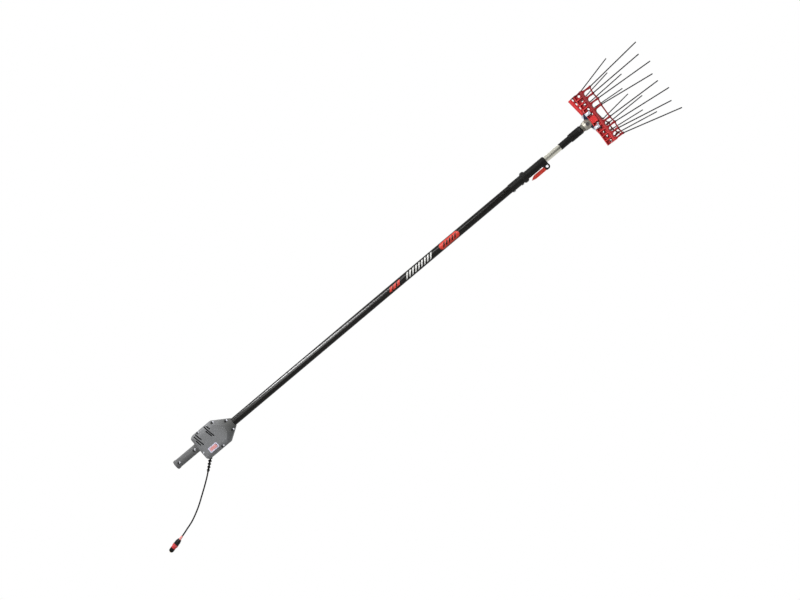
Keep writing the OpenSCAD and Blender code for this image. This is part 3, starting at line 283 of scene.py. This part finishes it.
# The combs get painted shade in their pockets
RED = surface("red_moulding", (0.49, 0.029, 0.030), 0.38, patch=14.0, grain=700.0, depth=0.00003,
              wear=(0.6, 0.09, 0.09), grime=(0.19, 0.003, 0.006), fades=(ARMS_SHADE,),
              Specular_IOR_Level=0.18)
RED_GLOSS = surface("red_gloss", RING_RED, 0.2, depth=0.00002, Specular_IOR_Level=0.4,
                    Coat_Weight=0.2, Coat_Roughness=0.08)
LEVER = surface("lever_red", (0.38, 0.026, 0.016), 0.34, patch=14.0, grain=700.0, depth=0.00003,
                wear=(0.5, 0.09, 0.08), Specular_IOR_Level=0.35)
PINK = surface("pink_rubber", (0.70, 0.27, 0.25), 0.5, grain=1800.0, depth=0.00004, Specular_IOR_Level=0.2)
PALE = surface("switch_pale", (0.56, 0.54, 0.66), 0.3, vary=0.03, depth=0.00002, Specular_IOR_Level=0.4)
ROSE = surface("switch_rose", (0.60, 0.27, 0.27), 0.26, vary=0.03, depth=0.00002, Specular_IOR_Level=0.5,
               Subsurface_Weight=0.1, Subsurface_Scale=0.002)
DRAWN = surface("drawn_aluminium", (0.62, 0.61, 0.54), 0.3, metal=1.0, patch=30.0, grain=1800.0,
                lines=(0.44, 0.43, 0.36), depth=0.00002, stretch=(1, 1, 0.02), rough_vary=0.08,
                Anisotropic=0.5)
CAST = surface("cast_aluminium", (0.28, 0.265, 0.23), 0.46, metal=1.0, vary=0.06, patch=90.0, grain=650.0,
               depth=0.00008, wear=(0.5, 0.49, 0.46), fades=(COLLAR_FADE,))
PLATE_LOOK = dict(color=(0.74, 0.75, 0.80), rough=0.12, metal=1.0, grain=500.0, depth=0.000008,
                  rough_vary=0.03)
CHROME = surface("bright_plate", **PLATE_LOOK)
SCREW = surface("screw_plate", recess_shade=HEAD_RECESS_SHADE, **PLATE_LOOK)
# Painted highlight: the lever pin is pale and barely metallic, so that it shows as a bright glint
PIN_GLINT = surface("pin_painted_glint", (0.80, 0.80, 0.82), 0.42, metal=0.25, depth=0.00001)
STEEL = surface("zinc_steel", (0.56, 0.56, 0.55), 0.3, metal=1.0, patch=120.0, grain=1500.0, depth=0.00003)
DARK_STEEL = surface("oiled_steel", (0.16, 0.16, 0.165), 0.34, metal=1.0, patch=150.0, grain=1200.0,
                     depth=0.00004)
# Painted shade: the motor can is near black, so that the housing's inside shows dark through the vents
CAN_SHADE = surface("can_painted_shade", (0.012, 0.012, 0.013), 0.5, patch=80.0, Specular_IOR_Level=0.15)
ROD = surface("carbon_rod", (0.005, 0.005, 0.0055), 0.36, grain=1600.0, depth=0.00002, stretch=(1, 1, 0.1),
              Specular_IOR_Level=0.1)
SHADED_ARM_BRIGHT_STRAP = shaded_arm_bright_strap()
NYLON = surface("white_nylon", (0.78, 0.77, 0.73), 0.42, vary=0.03, depth=0.00003)
COPPER = surface("copper", (0.7, 0.34, 0.18), 0.34, metal=1.0, vary=0.1, patch=200.0)
BRONZE = surface("bronze", (0.5, 0.35, 0.16), 0.4, metal=1.0, vary=0.1, patch=200.0)
BRASS = surface("brass", (0.72, 0.55, 0.26), 0.24, metal=1.0, vary=0.06, patch=200.0)
BOARD = surface("board_green", (0.02, 0.14, 0.05), 0.35, vary=0.15, patch=300.0)
MAGNET = surface("magnet", (0.07, 0.07, 0.075), 0.6, vary=0.15, patch=300.0, depth=0.0001)
LEAD = surface("lead_red", (0.42, 0.02, 0.02), 0.4, vary=0.05)
PRINT_RED = surface("print_red", (0.48, 0.032, 0.018), 0.36, depth=0.00001, Specular_IOR_Level=0.3)
PRINT_WHITE = surface("print_white", (0.56, 0.56, 0.54), 0.38, depth=0.00001, Specular_IOR_Level=0.3)
PRINT_DARK = surface("print_dark", (0.03, 0.006, 0.005), 0.36, depth=0.00001, Specular_IOR_Level=0.15)

FINISH = {
    "housing_front": SHELL, "housing_rear": SHELL_BACK, "housing_screws": SCREW, "motor_can": CAN_SHADE,
    "motor_magnets": MAGNET, "motor_end_bell": BLACK, "motor_brushes": MAGNET, "motor_shaft": DARK_STEEL,
    "armature": COPPER, "commutator": COPPER, "motor_pinion": DARK_STEEL, "gear_case": CAST,
    "gear_cover": CAST, "shaft_bearings": STEEL, "drive_gear": DARK_STEEL, "lower_shaft": STEEL,
    "shaft_tip_bush": NYLON, "control_board": BOARD, "board_parts": BLACK, "motor_leads": LEAD,
    "switch_frame": PALE, "switch_rocker": ROSE, "strain_relief": RUBBER, "power_cord": RUBBER,
    "plug_sleeve": PINK, "plug_body": BLACK, "plug_ring": RED_GLOSS, "plug_nose": PLUG_NOSE,
    "plug_contact": BRASS, "outer_tube": LACQUER, "shaft_guides": NYLON, "clamp_body": BLACK,
    "clamp_shoe": BLACK, "clamp_screws": STEEL, "lever_pin": PIN_GLINT, "clamp_lever": LEVER,
    "inner_tube": DRAWN, "tube_guide": NYLON, "head_socket": BLACK, "rod_bush": NYLON, "drive_rod": STEEL,
    "crankshaft": DARK_STEEL, "gear_head": CAST, "pivot_pin": DARK_STEEL, "pivot_clip": DARK_STEEL,
}
for side in ("front", "rear"):
    FINISH.update({side + "_rocker": SHADED_ARM_BRIGHT_STRAP, side + "_bush": BRONZE, side + "_comb": RED,
                   side + "_bolts": CHROME, side + "_tines": ROD})
for name, finish in FINISH.items():
    mesh = NODES[name].data
    mesh.materials.clear()
    mesh.materials.append(finish)


# Pieces


def link(obj):
    bpy.context.scene.collection.objects.link(obj)
    return obj


def mesh_piece(name, verts, faces, finish, smooth=True):
    mesh = bpy.data.meshes.new(name)
    mesh.from_pydata(verts, [], faces)
    mesh.materials.append(finish)
    for polygon in mesh.polygons:
        polygon.use_smooth = smooth
    mesh.update()
    return link(bpy.data.objects.new(name, mesh))


def catmull_rom(points, first, last, steps):
    """Points on the smooth curve that part.scad sweeps the cord along."""
    every = [first, *points, last]
    path = []
    for i in range(len(points) - 1):
        p0, p1, p2, p3 = (Vector(p) for p in every[i:i + 4])
        for k in range(steps):
            t = k / steps
            path.append(0.5 * (2 * p1 + (p2 - p0) * t + (2 * p0 - 5 * p1 + 4 * p2 - p3) * t ** 2
                               + (3 * p1 - p0 - 3 * p2 + p3) * t ** 3))
    return [*path, Vector(points[-1])]


# The cord: the photograph shows it from the strain relief to its plug, so that is its whole length
CORD_D = 0.0064
CORD_STEPS = 6

# Its route in part.scad, in millimetres across and along the pole, from the last bead to the plug
BEADS, BEAD_FIRST, BEAD_PITCH, BEAD_ROUND = 5, 2.7, 13.2, 8.4
RELIEF_ROOT = Vector((67.8, 72.7))
RELIEF_DIR = Vector((0.64, -0.77)).normalized()
CORD_POINTS = ((137, -14), (164, -54), (197, -105), (224, -159), (238, -203), (247.5, -236))
relief_out = BEAD_FIRST + (BEADS - 1) * BEAD_PITCH + BEAD_ROUND
route = [RELIEF_ROOT + RELIEF_DIR * relief_out, *(Vector(p) for p in CORD_POINTS)]
lead_in = route[1] - 2 * (route[1] - route[0]).length * RELIEF_DIR
lead_out = route[-2] + 2 * (route[-1] - route[-2]).length * PLUG_DIR.xz
path = [Vector((p.x / 1000, 0, p.y / 1000)) for p in catmull_rom(route, lead_in, lead_out, CORD_STEPS)]
curve = bpy.data.curves.new("cord", "CURVE")
curve.dimensions = "3D"
curve.bevel_depth = CORD_D / 2
curve.bevel_resolution = 6
curve.use_fill_caps = True
spline = curve.splines.new("POLY")
spline.points.add(len(path) - 1)
for point, place in zip(spline.points, path):
    point.co = (*place, 1)
spline.use_smooth = True
curve.materials.append(RUBBER)
cord = link(bpy.data.objects.new("cord", curve))
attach(cord, "motor_unit")
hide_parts("power_cord")


PRINT_LIFT = 0.00012
SECOND_LIFT = 0.00018
PRINT_SLANT = -0.8
PILL_FROM, PILL_TO, PILL_HALF = 1.393, 1.499, 0.0165


def tube_print(name, low, high, half, finish, lift=PRINT_LIFT, columns=28, rows=6):
    """A thin print wrapped on the front of the outer tube. low and high give its ends at an arc place."""
    verts, faces = [], []
    for i in range(columns + 1):
        arc = -half + 2 * half * i / columns
        turn = arc / TUBE_R
        z0, z1 = low(arc), high(arc)
        for k in range(rows + 1):
            r = TUBE_R + lift
            verts.append((POLE_X + r * math.sin(turn), -r * math.cos(turn), z0 + (z1 - z0) * k / rows))
    for i in range(columns):
        for k in range(rows):
            a = i * (rows + 1) + k
            faces.append((a, a + rows + 1, a + rows + 2, a + 1))
    piece = mesh_piece(name, verts, faces, finish)
    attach(piece, "motor_unit")
    return piece


def pill(z0, z1, half):
    """Ends of a pill shape from z0 to z1."""

    def cap(arc):
        return half - math.sqrt(max(0.0, half * half - min(abs(arc), half) ** 2))

    return (lambda a: z0 + cap(a)), (lambda a: z1 - cap(a))


def slanted(z0, z1, slope=PRINT_SLANT):
    """Ends of a bar from z0 to z1 that lean along the tube."""
    return (lambda a: z0 + slope * a), (lambda a: z1 + slope * a)


def strokes(name, count, first, pitch, width, half, finish, **more):
    """A row of slanted bars along the tube."""
    for i in range(count):
        z0 = first + i * pitch
        tube_print("%s_%d" % (name, i), *slanted(z0, z0 + width), half, finish, **more)


# Plain shapes stand where the photographed tube carries lettering
strokes("print_red_stroke", count=3, first=1.115, pitch=0.0205, width=0.0145, half=0.009, finish=PRINT_RED)
strokes("print_stroke", count=9, first=1.208, pitch=0.0164, width=0.0076, half=0.0122, finish=PRINT_WHITE)
tube_print("print_pill", *pill(PILL_FROM, PILL_TO, PILL_HALF), PILL_HALF, PRINT_RED)
strokes("print_pill_stroke", count=5, first=1.412, pitch=0.0154, width=0.0086, half=0.0085,
        finish=PRINT_DARK, lift=SECOND_LIFT)


# Stage, light and camera


def light_paths(tree):
    """1 for rays that should see the white ground: from the camera, mirrors and glass."""
    paths = tree.nodes.new("ShaderNodeLightPath")
    seen = paths.outputs["Is Camera Ray"]
    for ray in ("Is Glossy Ray", "Is Transmission Ray"):
        either = tree.nodes.new("ShaderNodeMath")
        either.operation = "MAXIMUM"
        tree.links.new(seen, either.inputs[0])
        tree.links.new(paths.outputs[ray], either.inputs[1])
        seen = either.outputs["Value"]
    return seen


def floor_material():
    material = bpy.data.materials.new("pale_floor")
    material.use_nodes = True
    tree = material.node_tree
    shader = tree.nodes["Principled BSDF"]
    shader.inputs["Base Color"].default_value = (0.86, 0.86, 0.86, 1)
    shader.inputs["Roughness"].default_value = 0.8
    shader.inputs["Specular IOR Level"].default_value = 0.1
    glow = tree.nodes.new("ShaderNodeEmission")
    glow.inputs["Color"].default_value = (1, 1, 1, 1)
    mix = tree.nodes.new("ShaderNodeMixShader")
    tree.links.new(light_paths(tree), mix.inputs["Fac"])
    tree.links.new(shader.outputs["BSDF"], mix.inputs[1])
    tree.links.new(glow.outputs["Emission"], mix.inputs[2])
    tree.links.new(mix.outputs["Shader"], tree.nodes["Material Output"].inputs["Surface"])
    return material


FLOOR_Z = -0.335
FLOOR_HALF = 14.0
SQUARE = ((-1, -1), (1, -1), (1, 1), (-1, 1))
QUAD = [(0, 1, 2, 3)]
floor = mesh_piece("floor", [(a * FLOOR_HALF, b * FLOOR_HALF, FLOOR_Z) for a, b in SQUARE], QUAD,
                   floor_material(), smooth=False)

# A dark flag above the camera, so that the bright metal has something to mirror
FLAG_Y, FLAG_Z = -5.6, 3.2
FLAG_HALF, FLAG_TALL = 7, 1
flag_black = bpy.data.materials.new("flag_black")
flag_black.use_nodes = True
flag_shader = flag_black.node_tree.nodes["Principled BSDF"]
flag_shader.inputs["Base Color"].default_value = (0.01, 0.01, 0.01, 1)
flag_shader.inputs["Specular IOR Level"].default_value = 0.0
flag = mesh_piece("flag", [(a * FLAG_HALF, FLAG_Y, FLAG_Z + b * FLAG_TALL) for a, b in SQUARE], QUAD,
                  flag_black, smooth=False)
flag.visible_camera = False

world = bpy.data.worlds.new("studio")
bpy.context.scene.world = world
world.use_nodes = True
tree = world.node_tree
soft = tree.nodes["Background"]
soft.inputs["Color"].default_value = (0.95, 0.97, 1.0, 1)
soft.inputs["Strength"].default_value = 0.27
white = tree.nodes.new("ShaderNodeBackground")
white.inputs["Color"].default_value = (1, 1, 1, 1)
mix = tree.nodes.new("ShaderNodeMixShader")
tree.links.new(light_paths(tree), mix.inputs["Fac"])
tree.links.new(soft.outputs["Background"], mix.inputs[1])
tree.links.new(white.outputs["Background"], mix.inputs[2])
tree.links.new(mix.outputs["Shader"], tree.nodes["World Output"].inputs["Surface"])


def lamp(name, place, target, size, power, tilt=0.0):
    """An area lamp, size being its width and height, tilted by so many degrees in its own plane."""
    data = bpy.data.lights.new(name, "AREA")
    data.shape = "RECTANGLE"
    data.size, data.size_y = size
    data.energy = power
    obj = link(bpy.data.objects.new(name, data))
    obj.location = place
    aim = (Vector(target) - Vector(place)).to_track_quat("-Z", "Y")
    obj.rotation_euler = (aim @ Quaternion((0, 0, 1), math.radians(tilt))).to_euler()
    return obj


lamp("front", place=(-2.2, -4.6, 0.3), target=(0, 0, 0.35), size=(3.6, 1.2), power=190)
# A long strip beside the tool is mirrored as the slanting streak on the tube. It lights nothing else.
streak = lamp("streak", place=(-3.1, -1.95, 0.45), target=(0, -1.95, 0.45), size=(3.0, 0.4), power=570,
              tilt=14.5)
streak.visible_diffuse = False
tube_only = bpy.data.collections.new("lit_by_streak")
tube_only.objects.link(NODES["outer_tube"])
streak.light_linking.receiver_collection = tube_only
# The side lamp leaves the tube out, so that a dark edge stays beside the streak
side = lamp("side", place=(-3.1, 0.24, 0.3), target=(0, 0, 0.6), size=(0.8, 1.7), power=70)
but_tube = bpy.data.collections.new("not_lit_by_side")
but_tube.objects.link(NODES["outer_tube"])
but_tube.collection_objects[0].light_linking.link_state = "EXCLUDE"
side.light_linking.receiver_collection = but_tube
lamp("head", place=(-1.5, -1.7, 1.5), target=(0, 0, 2.25), size=(0.8, 0.8), power=24)
lamp("fill", place=(3.2, -3.2, 1.4), target=(0, 0, 1.1), size=(2.0, 2.0), power=8)
lamp("rim", place=(-0.6, 3.0, 3.2), target=(0, 0, 1.3), size=(1.8, 1.8), power=40)

# The camera looks straight at the front, rolled so that the upright pole lies along the picture's slant
CAMERA_X, CAMERA_Z = 0.0747, 1.122
CAMERA_AWAY = 5.3
PICTURE_W = 3.411
SENSOR_W = 36.0
ROLL = math.radians(40.07)
camera_data = bpy.data.cameras.new("camera")
camera_data.sensor_width = SENSOR_W
camera_data.lens = SENSOR_W * CAMERA_AWAY / PICTURE_W
camera = link(bpy.data.objects.new("camera", camera_data))
right = Vector((math.sin(ROLL), 0, math.cos(ROLL)))
up = Vector((-math.cos(ROLL), 0, math.sin(ROLL)))
back = Vector((0, -1, 0))
turn = Matrix((right, up, back)).transposed().to_4x4()
camera.matrix_world = Matrix.Translation((CAMERA_X, -CAMERA_AWAY, CAMERA_Z)) @ turn
bpy.context.scene.camera = camera
bpy.context.scene.view_settings.view_transform = "Standard"
